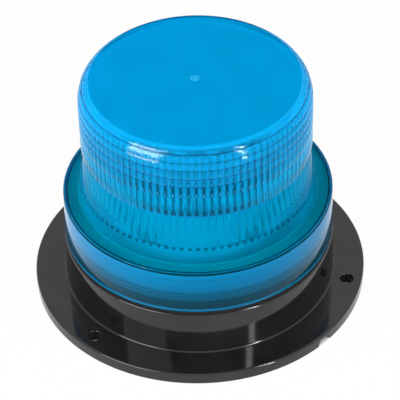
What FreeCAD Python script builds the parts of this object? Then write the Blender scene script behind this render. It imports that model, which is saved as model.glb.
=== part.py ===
# Blue warning beacon: black flanged base, screw-on fluted lens, LED tower on a driver board.
# Millimetres, +Z up, origin at the centre of the mounting face.
import FreeCAD, Part
import math
import os

V = FreeCAD.Vector
UP = V(0, 0, 1)
ORIGIN = V(0, 0, 0)

# How far cutters and fused roots run past a face
REACH = 1.0

# Base housing
FLANGE_R = 82.5
FLANGE_T = 6.0
FLANGE_EDGE = 0.8
COLLAR_FOOT_R = 67.3
COLLAR_TOP_R = 66.5
COLLAR_TOP_Z = 29.5
FOOT_FILLET = 0.8
WALL = 3.2
NECK_R = 58.8
NECK_BORE_R = 55.8
NECK_TOP_Z = 50.5
NECK_CHAMFER = 0.7
FLOOR_Z = 4.0
FLOOR_T = 3.0
RIB_COUNT = 12
RIB_T = 2.0
RIB_FOOT_Z = 1.0
HUB_R = 12.0
HUB_BORE_R = 9.5

# Mounting holes and the lead channel under the flange
HOLE_COUNT = 3
HOLE_R = 3.25
HOLE_CIRCLE_R = 75.0
HOLE_START = -15.0
CHANNEL_ANGLE = -45.0
CHANNEL_FOOT_W = 8.5
CHANNEL_ROOF_W = 6.0
CHANNEL_H = 3.4
GROMMET_CIRCLE_R = 38.0
GROMMET_HOLE_R = 6.0
GROMMET_LIP_R = 8.0
GROMMET_BORE_R = 3.0
GROMMET_LIP_T = 1.5
GROMMET_EDGE = 0.6

# Lens and its seal
SEAL_T = 2.0
SEAL_BORE_R = 60.0
SEAL_R = 66.0
SEAL_EDGE = 0.4
LENS_FOOT_Z = COLLAR_TOP_Z + SEAL_T
BAND_FOOT_R = 66.4
BAND_TOP_R = 65.9
BAND_BORE_R = 63.0
BAND_FOOT_FILLET = 0.8
SHOULDER_Z = 55.0
RIM_FILLET = 1.0
LENS_WALL = 3.0
DRUM_FOOT_R = 58.4
DRUM_FOOT_FILLET = 1.6
FOOT_TOP_R = 54.2
DRUM_R = 55.4
OPTIC_Z = 81.4
OPTIC_EDGE = 0.5
RING_TOPS = (93.2, 99.6, 104.2, 109.3, 113.3, 117.0)
RING_CROWN = 0.35
EDGE_Z = 110.3
EDGE_R = 12.0
EDGE_TURN = 52.0
TOP_CORNER_R = 2.4
CEILING_FILLET = 6.0
FLUTE_COUNT = 96
FLUTE_FOOT_Z = 60.4
FLUTE_DEPTH = 0.9

# Driver board and what stands on it
BOARD_R = 49.0
BOARD_Z = 24.0
BOARD_T = 1.6
BOARD_TOP = BOARD_Z + BOARD_T
BOARD_SCREW_COUNT = 4
BOARD_SCREW_CIRCLE_R = 43.0
BOSS_R = 4.2
BOSS_TIP_ROOM = 2.0
LEAD_SLOT_R = 5.0
LEAD_SLOT_CIRCLE_R = 46.0
M3_R = 1.5
M3_HEAD_R = 2.8
M3_HEAD_T = 2.2
M3_CLEAR_R = 1.7
THREAD_GAP = 0.05
HEAD_ROUNDING = 0.4
SCREW_GRIP = 6.0
CAPACITOR_R = 6.3
CAPACITOR_H = 18.0
CAPACITOR_EDGE = 0.8
CAPACITOR_BEAD = 0.5
CAPACITOR_BEAD_H = 2.6
CAPACITOR_PLACES = (V(-26, 18, 0), V(-14, 30, 0))
CHOKE_PLACE = V(20, 12, 0)
CHOKE_R = 9.0
CHOKE_WIRE_R = 3.5
TERMINAL_PLACE = V(29, -13.5, 0)
TERMINAL_SIZE = V(9, 15, 10)
TERMINAL_WELL_R = 1.9
TERMINAL_WELL_H = 6.5
TERMINAL_ENTRY = 4.0
TERMINAL_ENTRY_H = 1.2
TERMINAL_SCREW_R = 1.8
TERMINAL_SCREW_T = 2.0
DRIVER_SLOT_W = 0.6
DRIVER_SLOT_T = 0.9
FUSE_PLACE = V(-14, -33, 0)
FUSE_R = 2.6
FUSE_L = 20.0
FUSE_AXIS_H = 5.0
CLIP_L = 5.0
CLIP_T = 0.7
CLIP_JAW_H = 1.5
CLIP_MOUTH = 3.4
SINK_PLACE = V(-36, -26, 0)
SINK_SIZE = V(1.6, 18, 16)
FIN_COUNT = 6
FIN_DEPTH = 2.5
FIN_T = 1.0
FIN_PITCH = 3.0
TRANSISTOR_COUNT = 2
TRANSISTOR_SIZE = V(4, 7.6, 11)
TRANSISTOR_PITCH = 8.8
TRANSISTOR_MARGIN = 0.8
LEG_H = 3.0
LEG_PITCH = 2.5
LEG_SIZE = V(0.6, 0.8, LEG_H)
CHIP_PLACE = V(0, 10, 0)
CHIP_SIZE = V(10, 6, 2)
CHIP_LEG_COUNT = 4
CHIP_LEG_SIZE = V(0.7, 1.6, 1.2)
CHIP_LIFT = 0.5
SUPPRESSOR_PLACE = V(10, -18, 0)
SUPPRESSOR_R = 5.0
SUPPRESSOR_T = 3.5
DIODE_PLACE = V(-7.5, -18, 0)
DIODE_R = 2.4
DIODE_L = 9.0
WIRE_LEG_R = 0.45
WIRE_LEG_PITCH = 6.0
CONNECTOR_PLACE = V(-2, -0.5, 0)
CONNECTOR_SIZE = V(9, 6, 7)
LEAD_R = 0.8
LEAD_PITCH = 3.0

# Reflector plate and LED tower
POST_COUNT = 3
POST_CIRCLE_R = 34.0
POST_START = 60.0
POST_FLATS = 5.5
PLATE_R = 48.5
PLATE_Z = 46.0
PLATE_T = 2.0
PLATE_RIM_H = 2.0
PLATE_RIM_W = 1.5
PLATE_BORE_R = 9.0
PLATE_EDGE = 0.5
PLATE_FILLET = 0.8
TOWER_SIDES = 6
TOWER_FLATS = 25.0
TOWER_BORE_R = 9.0
TOWER_TOP_Z = 73.0
TOWER_FOOT_R = 21.5
TOWER_FOOT_T = 2.5
TOWER_SCREW_CIRCLE_R = 18.2
TOWER_SCREW_COUNT = 3
TOWER_SCREW_START = 30.0
PAD_T = 0.4
PANEL_W = 13.0
PANEL_H = 18.0
PANEL_T = 1.2
PANEL_FOOT_Z = 53.5
PANEL_SCREW_INSET = 2.4
PANEL_SCREW_L = 4.5
LED_PER_PANEL = 2
LED_SIZE = 3.6
LED_BODY_T = 1.2
LED_DOME_R = 1.5
LED_DOME_H = 1.0
LED_DOME_TOP_R = 0.9
LED_PITCH = 4.8
M2_R = 1.0
M2_HEAD_R = 1.7
M2_HEAD_T = 1.2
M2_CLEAR_R = 1.15


def turned(shape, degrees):
    copy = shape.copy()
    copy.rotate(ORIGIN, UP, degrees)
    return copy


def polar(radius, degrees, z=0.0):
    angle = math.radians(degrees)
    return V(radius * math.cos(angle), radius * math.sin(angle), z)


def outline(points):
    """A face in the XZ plane. A point with three numbers gives a corner and its fillet radius."""
    count = len(points)
    starts = []
    ends = []
    edges = []
    for i, point in enumerate(points):
        corner = V(point[0], 0, point[1])
        if len(point) == 2:
            starts.append(corner)
            ends.append(corner)
            edges.append(None)
            continue
        before = V(points[i - 1][0], 0, points[i - 1][1])
        after = V(points[(i + 1) % count][0], 0, points[(i + 1) % count][1])
        to_before = (before - corner).normalize()
        to_after = (after - corner).normalize()
        half = to_before.getAngle(to_after) / 2
        reach = point[2] / math.tan(half)
        start = corner + to_before * reach
        end = corner + to_after * reach
        bisector = (to_before + to_after).normalize()
        middle = corner + bisector * (point[2] / math.sin(half) - point[2])
        starts.append(start)
        ends.append(end)
        edges.append(Part.Arc(start, middle, end).toShape())
    wire = []
    for i in range(count):
        if edges[i]:
            wire.append(edges[i])
        following = starts[(i + 1) % count]
        if ends[i].distanceToPoint(following) > 1e-6:
            wire.append(Part.LineSegment(ends[i], following).toShape())
    return Part.Face(Part.Wire(wire))


def spun(points):
    return outline(points).revolve(ORIGIN, UP, 360)


def post(radius, low, high, x=0.0, y=0.0):
    return Part.makeCylinder(radius, high - low, V(x, y, low))


def block(low, size):
    return Part.makeBox(size.x, size.y, size.z, low)


def hexagon_post(flats, low, high, x=0.0, y=0.0):
    corners = [polar(flats / 2 / math.cos(math.pi / 6), 60 * i + 30, low) + V(x, y, 0) for i in range(7)]
    return Part.Face(Part.makePolygon(corners)).extrude(V(0, 0, high - low))


def pan_screw(place, seat_z, shank_r, shank_l, head_r, head_t):
    """A screw seen from above: the head sits on seat_z and the shank goes down."""
    edge = head_t * HEAD_ROUNDING
    head = spun([(0, seat_z), (head_r, seat_z), (head_r, seat_z + head_t, edge), (0, seat_z + head_t)])
    shank = post(shank_r, seat_z - shank_l, seat_z)
    screw = head.fuse(shank).removeSplitter()
    screw.translate(V(place.x, place.y, 0))
    return screw


def board_screw_places():
    step = 360 / BOARD_SCREW_COUNT
    return [polar(BOARD_SCREW_CIRCLE_R, step * i) for i in range(BOARD_SCREW_COUNT)]


def post_places():
    step = 360 / POST_COUNT
    return [polar(POST_CIRCLE_R, POST_START + step * i) for i in range(POST_COUNT)]


def tower_screw_places():
    step = 360 / TOWER_SCREW_COUNT
    return [polar(TOWER_SCREW_CIRCLE_R, TOWER_SCREW_START + step * i) for i in range(TOWER_SCREW_COUNT)]


def base_housing():
    """One moulding: mounting flange, collar, cup floor and the neck that the lens screws onto."""
    groove_r = COLLAR_TOP_R - WALL
    body = spun([
        (0, FLOOR_Z),
        (NECK_R, FLOOR_Z),
        (NECK_R, COLLAR_TOP_Z - WALL),
        (groove_r, COLLAR_TOP_Z - WALL),
        (groove_r, 0),
        (FLANGE_R, 0),
        (FLANGE_R, FLANGE_T, FLANGE_EDGE),
        (COLLAR_FOOT_R, FLANGE_T, FOOT_FILLET),
        (COLLAR_TOP_R, COLLAR_TOP_Z, FLANGE_EDGE),
        (NECK_R, COLLAR_TOP_Z),
        (NECK_R, NECK_TOP_Z - NECK_CHAMFER),
        (NECK_R - NECK_CHAMFER, NECK_TOP_Z),
        (NECK_BORE_R, NECK_TOP_Z),
        (NECK_BORE_R, FLOOR_Z + FLOOR_T, FOOT_FILLET),
        (0, FLOOR_Z + FLOOR_T),
    ])
    ribs = [stiffening_rib(360 / RIB_COUNT * i, groove_r) for i in range(RIB_COUNT)]
    hub = post(HUB_R, RIB_FOOT_Z, FLOOR_Z).cut(post(HUB_BORE_R, RIB_FOOT_Z, FLOOR_Z))
    bosses = [post(BOSS_R, FLOOR_Z + FLOOR_T, BOARD_Z, p.x, p.y) for p in board_screw_places()]
    body = body.fuse(ribs + [hub] + bosses).removeSplitter()
    pilots = [post(M3_R + THREAD_GAP, FLOOR_Z + FLOOR_T, BOARD_Z, p.x, p.y) for p in board_screw_places()]
    inlet = polar(GROMMET_CIRCLE_R, CHANNEL_ANGLE)
    cuts = pilots + [post(GROMMET_HOLE_R, FLOOR_Z, FLOOR_Z + FLOOR_T, inlet.x, inlet.y)]
    for i in range(HOLE_COUNT):
        hole = polar(HOLE_CIRCLE_R, HOLE_START + 360 / HOLE_COUNT * i)
        cuts.append(post(HOLE_R, 0, FLANGE_T, hole.x, hole.y))
    cuts.append(lead_channel(groove_r))
    return body.cut(cuts)


def stiffening_rib(degrees, groove_r):
    """A rib under the cup floor that also bridges the ring groove behind the collar wall."""
    under_floor = block(
        V(HUB_R - REACH, -RIB_T / 2, RIB_FOOT_Z),
        V(NECK_R - HUB_R + REACH, RIB_T, FLOOR_Z + REACH - RIB_FOOT_Z),
    )
    in_groove = block(
        V(NECK_R - REACH, -RIB_T / 2, RIB_FOOT_Z),
        V(groove_r - NECK_R + 2 * REACH, RIB_T, COLLAR_TOP_Z - WALL - RIB_FOOT_Z),
    )
    return turned(under_floor.fuse(in_groove), degrees)


def lead_channel(groove_r):
    """The trapezoid notch that lets the supply lead leave sideways under the flange."""
    low = CHANNEL_FOOT_W / 2
    high = CHANNEL_ROOF_W / 2
    start = groove_r - REACH
    corners = [
        V(start, -low, 0),
        V(start, low, 0),
        V(start, high, CHANNEL_H),
        V(start, -high, CHANNEL_H),
        V(start, -low, 0),
    ]
    notch = Part.Face(Part.makePolygon(corners)).extrude(V(FLANGE_R - start + REACH, 0, 0))
    return turned(notch, CHANNEL_ANGLE)


def fluted_wire(valley_r, z):
    """A ring of round flutes: sharp valleys at valley_r, crests bulging FLUTE_DEPTH further in."""
    step = 360 / FLUTE_COUNT
    arcs = []
    for i in range(FLUTE_COUNT):
        start = polar(valley_r, step * (i - 0.5), z)
        crest = polar(valley_r - FLUTE_DEPTH, step * i, z)
        end = polar(valley_r, step * ((i + 0.5) if i < FLUTE_COUNT - 1 else -0.5), z)
        arcs.append(Part.Arc(start, crest, end).toShape())
    return Part.Wire(arcs)


def drum_radius(z):
    """Outside of the drum: a straight wall that turns over into the rounded edge."""
    if z <= EDGE_Z:
        return DRUM_R
    return DRUM_R - EDGE_R + math.sqrt(EDGE_R ** 2 - (z - EDGE_Z) ** 2)


def bore_radius(z):
    """Bottom of the flutes inside the drum: narrowing up to the belt, then straight."""
    mouth_z = SHOULDER_Z - LENS_WALL
    rise = min((z - mouth_z) / (OPTIC_Z - mouth_z), 1)
    return DRUM_FOOT_R - LENS_WALL - rise * (DRUM_FOOT_R - DRUM_R)


def crowned_rings():
    """The belt and the rings above it, each a flat arc that stands RING_CROWN proud of its chord."""
    edges = []
    low = V(DRUM_R, 0, OPTIC_Z + OPTIC_EDGE)
    for z in RING_TOPS:
        high = V(drum_radius(z), 0, z)
        chord = high - low
        outward = V(chord.z, 0, -chord.x).normalize()
        crown = (low + high) * 0.5 + outward * RING_CROWN
        edges.append(Part.Arc(low, crown, high).toShape())
        low = high
    return edges, low


def ring_optic():
    """The solid drum: a ledge under the belt, the rings, the rounded edge and the flat top."""
    turn = math.radians(EDGE_TURN)
    rings, ring_end = crowned_rings()
    centre = V(DRUM_R - EDGE_R, 0, EDGE_Z)
    edge_end = centre + V(math.cos(turn), 0, math.sin(turn)) * EDGE_R
    half_z = (ring_end.z + edge_end.z) / 2
    half_point = V(drum_radius(half_z), 0, half_z)
    corner = edge_end - V(math.cos(turn), 0, math.sin(turn)) * TOP_CORNER_R
    rest = (turn + math.pi / 2) / 2
    corner_mid = corner + V(math.cos(rest), 0, math.sin(rest)) * TOP_CORNER_R
    corner_end = corner + V(0, 0, TOP_CORNER_R)
    ledge = V(DRUM_R - OPTIC_EDGE, 0, OPTIC_Z)
    lip = OPTIC_EDGE * math.sqrt(0.5)
    ledge_mid = ledge + V(lip, 0, OPTIC_EDGE - lip)
    axis_low = V(0, 0, OPTIC_Z)
    axis_high = V(0, 0, corner_end.z)
    edges = [
        Part.LineSegment(axis_low, ledge).toShape(),
        Part.Arc(ledge, ledge_mid, V(DRUM_R, 0, OPTIC_Z + OPTIC_EDGE)).toShape(),
    ] + rings + [
        Part.Arc(ring_end, half_point, edge_end).toShape(),
        Part.Arc(edge_end, corner_mid, corner_end).toShape(),
        Part.LineSegment(corner_end, axis_high).toShape(),
        Part.LineSegment(axis_high, axis_low).toShape(),
    ]
    return Part.Face(Part.Wire(edges)).revolve(ORIGIN, UP, 360), corner_end.z


def lens_hollow(ceiling_z):
    """What the core of the mould leaves free: band bore, plain foot, flutes and filleted ceiling."""
    mouth_z = SHOULDER_Z - LENS_WALL
    mouth = post(BAND_BORE_R, LENS_FOOT_Z, mouth_z)
    foot_r = bore_radius(FLUTE_FOOT_Z)
    plain_foot = Part.makeCone(bore_radius(mouth_z), foot_r, FLUTE_FOOT_Z - mouth_z, V(0, 0, mouth_z))
    drum_bore_r = bore_radius(OPTIC_Z)
    foot_wire = fluted_wire(foot_r, FLUTE_FOOT_Z)
    belt_wire = fluted_wire(drum_bore_r, OPTIC_Z)
    edge_wire = fluted_wire(drum_bore_r, EDGE_Z)
    foot_flutes = Part.makeLoft([foot_wire, belt_wire], True, True)
    drum_flutes = Part.makeLoft([belt_wire, edge_wire], True, True)
    crest_r = drum_bore_r - FLUTE_DEPTH
    ceiling = spun([
        (0, EDGE_Z),
        (crest_r, EDGE_Z),
        (crest_r, ceiling_z, CEILING_FILLET),
        (0, ceiling_z),
    ])
    return [mouth, plain_foot, foot_flutes, drum_flutes, ceiling]


def lens():
    """One blue moulding: threaded band, flat shoulder, flared foot, ring optic and rounded top."""
    skirt = spun([
        (0, LENS_FOOT_Z),
        (BAND_FOOT_R, LENS_FOOT_Z, BAND_FOOT_FILLET),
        (BAND_TOP_R, SHOULDER_Z, RIM_FILLET),
        (DRUM_FOOT_R, SHOULDER_Z, DRUM_FOOT_FILLET),
        (FOOT_TOP_R, OPTIC_Z),
        (0, OPTIC_Z),
    ])
    optic, top_z = ring_optic()
    return skirt.fuse(optic).cut(lens_hollow(top_z - LENS_WALL)).removeSplitter()


def lens_seal():
    low = COLLAR_TOP_Z
    high = LENS_FOOT_Z
    return spun([
        (SEAL_BORE_R, low, SEAL_EDGE),
        (SEAL_R, low, SEAL_EDGE),
        (SEAL_R, high, SEAL_EDGE),
        (SEAL_BORE_R, high, SEAL_EDGE),
    ])


def cable_grommet():
    top = FLOOR_Z + FLOOR_T
    ring = spun([
        (GROMMET_BORE_R, FLOOR_Z - GROMMET_LIP_T),
        (GROMMET_LIP_R, FLOOR_Z - GROMMET_LIP_T, GROMMET_EDGE),
        (GROMMET_LIP_R, FLOOR_Z),
        (GROMMET_HOLE_R, FLOOR_Z),
        (GROMMET_HOLE_R, top),
        (GROMMET_LIP_R, top),
        (GROMMET_LIP_R, top + GROMMET_LIP_T, GROMMET_EDGE),
        (GROMMET_BORE_R, top + GROMMET_LIP_T),
    ])
    ring.translate(polar(GROMMET_CIRCLE_R, CHANNEL_ANGLE))
    return ring


def driver_board():
    board = post(BOARD_R, BOARD_Z, BOARD_TOP)
    slot = polar(LEAD_SLOT_CIRCLE_R, CHANNEL_ANGLE)
    cuts = [post(LEAD_SLOT_R, BOARD_Z, BOARD_TOP, slot.x, slot.y)]
    for place in board_screw_places() + post_places():
        cuts.append(post(M3_CLEAR_R, BOARD_Z, BOARD_TOP, place.x, place.y))
    return board.cut(cuts)


def board_screws():
    length = BOARD_TOP - FLOOR_Z - FLOOR_T - BOSS_TIP_ROOM
    return [pan_screw(p, BOARD_TOP, M3_R, length, M3_HEAD_R, M3_HEAD_T) for p in board_screw_places()]


def terminal_wells():
    return [TERMINAL_PLACE + V(0, side * TERMINAL_SIZE.y / 4, BOARD_TOP) for side in (-1, 1)]


def terminal_block():
    low = TERMINAL_PLACE + V(-TERMINAL_SIZE.x / 2, -TERMINAL_SIZE.y / 2, BOARD_TOP)
    body = block(low, TERMINAL_SIZE)
    cuts = []
    for well in terminal_wells():
        well_floor = well.z + TERMINAL_WELL_H
        cuts.append(post(TERMINAL_WELL_R, well_floor, well.z + TERMINAL_SIZE.z, well.x, well.y))
        entry = well + V(0, -TERMINAL_ENTRY / 2, TERMINAL_ENTRY_H)
        cuts.append(block(entry, V(TERMINAL_SIZE.x / 2, TERMINAL_ENTRY, TERMINAL_ENTRY)))
    return body.cut(cuts)


def terminal_screws():
    screws = []
    for well in terminal_wells():
        low = well.z + TERMINAL_WELL_H
        high = low + TERMINAL_SCREW_T
        head = post(TERMINAL_SCREW_R, low, high, well.x, well.y)
        slot_low = V(well.x - TERMINAL_SCREW_R, well.y - DRIVER_SLOT_W / 2, high - DRIVER_SLOT_T)
        slot = block(slot_low, V(2 * TERMINAL_SCREW_R, DRIVER_SLOT_W, DRIVER_SLOT_T))
        screws.append(head.cut(slot))
    return screws


def input_fuse():
    start = FUSE_PLACE + V(-FUSE_L / 2, 0, BOARD_TOP + FUSE_AXIS_H)
    return Part.makeCylinder(FUSE_R, FUSE_L, start, V(1, 0, 0))


def fuse_clips():
    """Two spring clips, each a jaw that is open at the top and grips one end of the fuse."""
    width = 2 * (FUSE_R + CLIP_T)
    clips = []
    for start_x in (-FUSE_L / 2, FUSE_L / 2 - CLIP_L):
        low = FUSE_PLACE + V(start_x, -width / 2, BOARD_TOP)
        jaw = block(low, V(CLIP_L, width, FUSE_AXIS_H + CLIP_JAW_H))
        bore_start = FUSE_PLACE + V(start_x - REACH, 0, BOARD_TOP + FUSE_AXIS_H)
        bore = Part.makeCylinder(FUSE_R, CLIP_L + 2 * REACH, bore_start, V(1, 0, 0))
        mouth_low = FUSE_PLACE + V(start_x - REACH, -CLIP_MOUTH / 2, BOARD_TOP + FUSE_AXIS_H)
        mouth = block(mouth_low, V(CLIP_L + 2 * REACH, CLIP_MOUTH, CLIP_JAW_H + REACH))
        clips.append(jaw.cut([bore, mouth]))
    return clips


def capacitor(place):
    """An upright can with the rolled bead near its foot."""
    low = BOARD_TOP
    high = BOARD_TOP + CAPACITOR_H
    bead = low + CAPACITOR_BEAD_H
    can = spun([
        (0, low),
        (CAPACITOR_R, low),
        (CAPACITOR_R, bead - CAPACITOR_BEAD),
        (CAPACITOR_R - CAPACITOR_BEAD, bead),
        (CAPACITOR_R, bead + CAPACITOR_BEAD),
        (CAPACITOR_R, high, CAPACITOR_EDGE),
        (0, high),
    ])
    can.translate(place)
    return can


def choke_coil():
    ring = Part.makeTorus(CHOKE_R, CHOKE_WIRE_R, V(0, 0, BOARD_TOP + CHOKE_WIRE_R), UP)
    ring.translate(CHOKE_PLACE)
    return ring


def transistor_heat_sink():
    plate = block(SINK_PLACE + V(0, 0, BOARD_TOP), SINK_SIZE)
    fin_size = V(FIN_DEPTH, FIN_T, SINK_SIZE.z - LEG_H)
    fins = []
    for i in range(FIN_COUNT):
        low = SINK_PLACE + V(-FIN_DEPTH, FIN_T + FIN_PITCH * i, BOARD_TOP + LEG_H)
        fins.append(block(low, fin_size))
    return plate.fuse(fins).removeSplitter()


def transistor(index):
    """A power transistor that stands on its three legs with its back to the heat sink."""
    y = SINK_PLACE.y + TRANSISTOR_MARGIN + index * TRANSISTOR_PITCH
    low = V(SINK_PLACE.x + SINK_SIZE.x, y, BOARD_TOP + LEG_H)
    case = block(low, TRANSISTOR_SIZE)
    foot = low + V((TRANSISTOR_SIZE.x - LEG_SIZE.x) / 2, (TRANSISTOR_SIZE.y - LEG_SIZE.y) / 2, -LEG_H)
    legs = [block(foot + V(0, LEG_PITCH * i, 0), LEG_SIZE) for i in (-1, 0, 1)]
    return case.fuse(legs).removeSplitter()


def control_chip():
    low = CHIP_PLACE + V(-CHIP_SIZE.x / 2, -CHIP_SIZE.y / 2, BOARD_TOP + CHIP_LIFT)
    case = block(low, CHIP_SIZE)
    legs = []
    for i in range(CHIP_LEG_COUNT):
        x = (i - (CHIP_LEG_COUNT - 1) / 2) * LEG_PITCH - CHIP_LEG_SIZE.x / 2
        for side in (-1, 1):
            y = side * CHIP_SIZE.y / 2 - CHIP_LEG_SIZE.y / 2
            legs.append(block(CHIP_PLACE + V(x, y, BOARD_TOP), CHIP_LEG_SIZE))
    return case.fuse(legs).removeSplitter()


def wire_legs(place, direction):
    """The two wires a small part stands on, one to each side of its middle along a direction."""
    feet = [place + direction * (side * WIRE_LEG_PITCH / 2) for side in (-1, 1)]
    return [post(WIRE_LEG_R, BOARD_TOP, BOARD_TOP + LEG_H, foot.x, foot.y) for foot in feet]


def surge_suppressor():
    start = SUPPRESSOR_PLACE + V(-SUPPRESSOR_T / 2, 0, BOARD_TOP + LEG_H / 2 + SUPPRESSOR_R)
    disc = Part.makeCylinder(SUPPRESSOR_R, SUPPRESSOR_T, start, V(1, 0, 0))
    return disc.fuse(wire_legs(SUPPRESSOR_PLACE, V(0, 1, 0))).removeSplitter()


def polarity_diode():
    start = DIODE_PLACE + V(-DIODE_L / 2, 0, BOARD_TOP + LEG_H)
    body = Part.makeCylinder(DIODE_R, DIODE_L, start, V(1, 0, 0))
    return body.fuse(wire_legs(DIODE_PLACE, V(1, 0, 0))).removeSplitter()


def lead_places():
    return [CONNECTOR_PLACE + V(side * LEAD_PITCH / 2, 0, 0) for side in (-1, 1)]


def lead_connector():
    low = CONNECTOR_PLACE + V(-CONNECTOR_SIZE.x / 2, -CONNECTOR_SIZE.y / 2, BOARD_TOP)
    body = block(low, CONNECTOR_SIZE)
    top = low.z + CONNECTOR_SIZE.z
    return body.cut([post(LEAD_R, BOARD_TOP + LEG_H, top, p.x, p.y) for p in lead_places()])


def tower_lead(place, lean):
    """An insulated lead that rises straight from the connector and then leans over inside the tower."""
    foot = place + V(0, 0, BOARD_TOP + LEG_H)
    elbow = place + V(0, 0, PLATE_Z)
    tip = place + V(lean, 0, (PLATE_Z + TOWER_TOP_Z) / 2)
    path = [(foot, elbow), (elbow, tip)]
    runs = [Part.makeCylinder(LEAD_R, (b - a).Length, a, b - a) for a, b in path]
    return runs[0].fuse([runs[1], Part.makeSphere(LEAD_R, elbow)]).removeSplitter()


def plate_post(place):
    body = hexagon_post(POST_FLATS, BOARD_TOP, PLATE_Z, place.x, place.y)
    return body.cut(post(M3_R + THREAD_GAP, BOARD_TOP, PLATE_Z, place.x, place.y))


def post_screws():
    """Screws from below the board into the posts."""
    screws = []
    for place in post_places():
        screw = pan_screw(ORIGIN, 0, M3_R, BOARD_T + SCREW_GRIP, M3_HEAD_R, M3_HEAD_T)
        screw.rotate(ORIGIN, V(1, 0, 0), 180)
        screw.translate(V(place.x, place.y, BOARD_Z))
        screws.append(screw)
    return screws


def reflector_plate():
    top = PLATE_Z + PLATE_T
    inner_rim = PLATE_R - PLATE_RIM_W
    plate = spun([
        (PLATE_BORE_R, PLATE_Z),
        (PLATE_R, PLATE_Z),
        (PLATE_R, top + PLATE_RIM_H, PLATE_EDGE),
        (inner_rim, top + PLATE_RIM_H, PLATE_EDGE),
        (inner_rim, top, PLATE_FILLET),
        (PLATE_BORE_R, top),
    ])
    cuts = [post(M3_CLEAR_R, PLATE_Z, top, p.x, p.y) for p in post_places()]
    cuts += [post(M2_R + THREAD_GAP, PLATE_Z, top, p.x, p.y) for p in tower_screw_places()]
    return plate.cut(cuts)


def plate_screws():
    seat = PLATE_Z + PLATE_T
    return [pan_screw(p, seat, M3_R, PLATE_T + SCREW_GRIP, M3_HEAD_R, M3_HEAD_T) for p in post_places()]


def led_tower():
    """A hexagonal aluminium column with a round foot."""
    low = PLATE_Z + PLATE_T
    column = hexagon_post(TOWER_FLATS, low, TOWER_TOP_Z)
    foot = post(TOWER_FOOT_R, low, low + TOWER_FOOT_T)
    tower = column.fuse(foot).removeSplitter()
    cuts = [post(TOWER_BORE_R, low, TOWER_TOP_Z)]
    cuts += [post(M2_CLEAR_R, low, low + TOWER_FOOT_T, p.x, p.y) for p in tower_screw_places()]
    for side in range(TOWER_SIDES):
        cuts += panel_bores(side)
    return tower.cut(cuts)


def tower_screws():
    seat = PLATE_Z + PLATE_T + TOWER_FOOT_T
    length = TOWER_FOOT_T + PLATE_T
    return [pan_screw(p, seat, M2_R, length, M2_HEAD_R, M2_HEAD_T) for p in tower_screw_places()]


def on_side(shape, side):
    """Turns a shape built on the +X face of the tower onto one of its six faces."""
    return turned(shape, 360 / TOWER_SIDES * side)


def panel_screw_heights():
    return (PANEL_FOOT_Z + PANEL_SCREW_INSET, PANEL_FOOT_Z + PANEL_H - PANEL_SCREW_INSET)


def panel_bores(side):
    bores = []
    for z in panel_screw_heights():
        start = V(TOWER_BORE_R - REACH, 0, z)
        bore = Part.makeCylinder(M2_R + THREAD_GAP, TOWER_FLATS / 2, start, V(1, 0, 0))
        bores.append(on_side(bore, side))
    return bores


def thermal_pad(side):
    low = V(TOWER_FLATS / 2, -PANEL_W / 2, PANEL_FOOT_Z)
    pad = on_side(block(low, V(PAD_T, PANEL_W, PANEL_H)), side)
    return pad.cut(panel_bores(side))


def led_board(side):
    low = V(TOWER_FLATS / 2 + PAD_T, -PANEL_W / 2, PANEL_FOOT_Z)
    board = on_side(block(low, V(PANEL_T, PANEL_W, PANEL_H)), side)
    return board.cut(panel_bores(side))


def led_group(side):
    """The emitters on one panel: a square body with a round dome."""
    face_x = TOWER_FLATS / 2 + PAD_T + PANEL_T
    centre_z = PANEL_FOOT_Z + PANEL_H / 2
    emitters = []
    for i in range(LED_PER_PANEL):
        z = centre_z + (i - (LED_PER_PANEL - 1) / 2) * LED_PITCH
        body = block(V(face_x, -LED_SIZE / 2, z - LED_SIZE / 2), V(LED_BODY_T, LED_SIZE, LED_SIZE))
        dome_foot = V(face_x + LED_BODY_T, 0, z)
        dome = Part.makeCone(LED_DOME_R, LED_DOME_TOP_R, LED_DOME_H, dome_foot, V(1, 0, 0))
        emitters.append(on_side(body.fuse(dome).removeSplitter(), side))
    return emitters


def panel_screws():
    face_x = TOWER_FLATS / 2 + PAD_T + PANEL_T
    screws = []
    for side in range(TOWER_SIDES):
        for z in panel_screw_heights():
            screw = pan_screw(ORIGIN, 0, M2_R, PANEL_SCREW_L, M2_HEAD_R, M2_HEAD_T)
            screw.rotate(ORIGIN, V(0, 1, 0), 90)
            screw.translate(V(face_x, 0, z))
            screws.append(on_side(screw, side))
    return screws


def all_parts():
    parts = {
        "base_housing": base_housing(),
        "lens": lens(),
        "lens_seal": lens_seal(),
        "cable_grommet": cable_grommet(),
        "driver_board": driver_board(),
        "board_screws": board_screws(),
        "terminal_block": terminal_block(),
        "terminal_screws": terminal_screws(),
        "input_fuse": input_fuse(),
        "fuse_clips": fuse_clips(),
        "choke_coil": choke_coil(),
        "transistor_heat_sink": transistor_heat_sink(),
        "control_chip": control_chip(),
        "surge_suppressor": surge_suppressor(),
        "polarity_diode": polarity_diode(),
        "lead_connector": lead_connector(),
        "red_lead": tower_lead(lead_places()[0], -LEAD_PITCH),
        "black_lead": tower_lead(lead_places()[1], LEAD_PITCH),
        "post_screws": post_screws(),
        "reflector_plate": reflector_plate(),
        "plate_screws": plate_screws(),
        "led_tower": led_tower(),
        "tower_screws": tower_screws(),
        "panel_screws": panel_screws(),
    }
    for i, place in enumerate(CAPACITOR_PLACES):
        parts[f"capacitor_{i + 1}"] = capacitor(place)
    for i in range(TRANSISTOR_COUNT):
        parts[f"transistor_{i + 1}"] = transistor(i)
    for i, place in enumerate(post_places()):
        parts[f"plate_post_{i + 1}"] = plate_post(place)
    for side in range(TOWER_SIDES):
        parts[f"thermal_pad_{side + 1}"] = thermal_pad(side)
        parts[f"led_board_{side + 1}"] = led_board(side)
        parts[f"led_group_{side + 1}"] = led_group(side)
    return parts


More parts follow.
